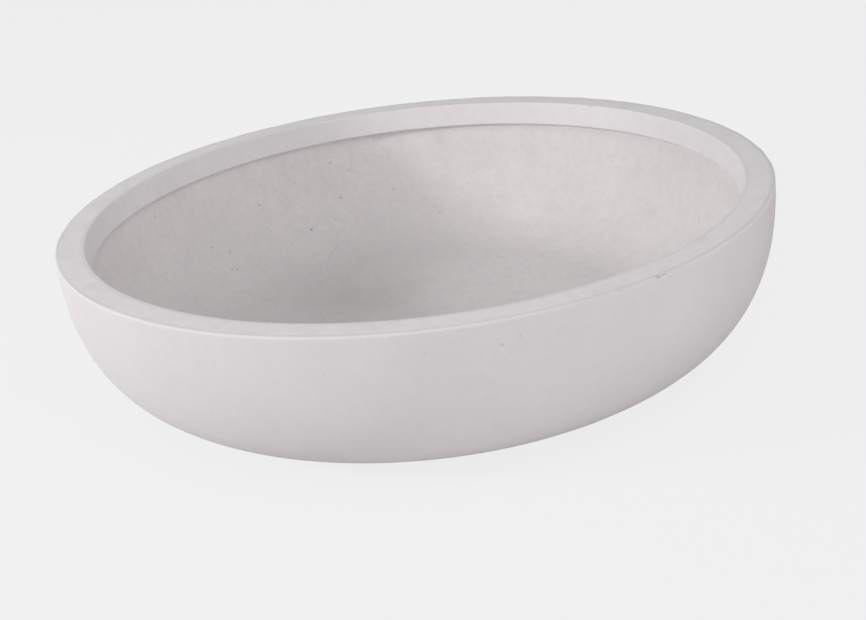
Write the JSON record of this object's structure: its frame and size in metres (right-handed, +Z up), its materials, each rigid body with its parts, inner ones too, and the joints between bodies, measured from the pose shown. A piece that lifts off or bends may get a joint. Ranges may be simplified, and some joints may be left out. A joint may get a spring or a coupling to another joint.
{
  "type": "concrete bowl planter",
  "caption": "Low round cast-concrete bowl planter with a thick flat-topped lip, a rubber stopper in its drain hole and rubber pads under its foot.",
  "frame": {"origin": "on the ground under the middle of the bowl, level with the undersides of the pads", "axes": "+Z up along the bowl's axis; the bowl is round, and the pads lie at 45 degrees to X and Y"},
  "size_m": [0.8, 0.8, 0.19],
  "materials": {
    "concrete": "matte",
    "plug_rubber": "matte",
    "pad_rubber": "matte"
  },
  "bodies": {
    "bowl": {"bowl_shell": "concrete", "foot_pad_1": "pad_rubber", "foot_pad_2": "pad_rubber", "foot_pad_3": "pad_rubber", "foot_pad_4": "pad_rubber"},
    "stopper": {"drain_plug": "plug_rubber"}
  },
  "joints": [
    {"name": "stopper_lift", "type": "slide", "parent": "bowl", "child": "stopper", "axis": [0, 0, 1], "range_m": [0, 0.2]}
  ]
}
